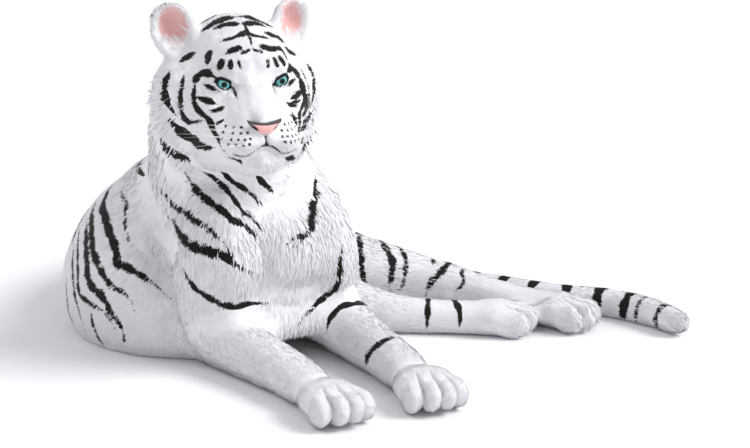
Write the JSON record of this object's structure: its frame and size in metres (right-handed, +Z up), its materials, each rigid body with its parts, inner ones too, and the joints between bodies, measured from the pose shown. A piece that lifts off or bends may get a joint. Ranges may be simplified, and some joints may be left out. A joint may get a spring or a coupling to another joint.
{
  "type": "white tiger figure",
  "caption": "Life-size white tiger lying at rest with its head up, forelegs stretched forward and hips rolled to one side, as a still display model.",
  "frame": {"origin": "middle of the bounding box of the body's footprint, on the floor the tiger lies on", "axes": "+Z up; -Y is where the chest faces and the forepaws point; +X is the animal's left"},
  "size_m": [1.2162, 1.4272, 0.7759],
  "materials": {
    "coat": "short dense fur, white with black stripes",
    "iris": "wet, glossy, blue-green with a round black pupil",
    "nose_leather": "pink, finely pebbled, slightly moist"
  },
  "bodies": {
    "root": {"ear_left": "coat", "ear_right": "coat", "eye_left": "iris", "eye_right": "iris", "forearm_left": "coat", "forearm_right": "coat", "forepaw_left": "coat", "forepaw_right": "coat", "head": "coat", "hind_foot_left": "coat", "hind_foot_right": "coat", "neck": "coat", "nose": "nose_leather", "shank_left": "coat", "shank_right": "coat", "tail_base": "coat", "tail_middle": "coat", "tail_tip": "coat", "thigh_left": "coat", "thigh_right": "coat", "trunk": "coat", "upper_foreleg_left": "coat", "upper_foreleg_right": "coat"}
  },
  "joints": []
}
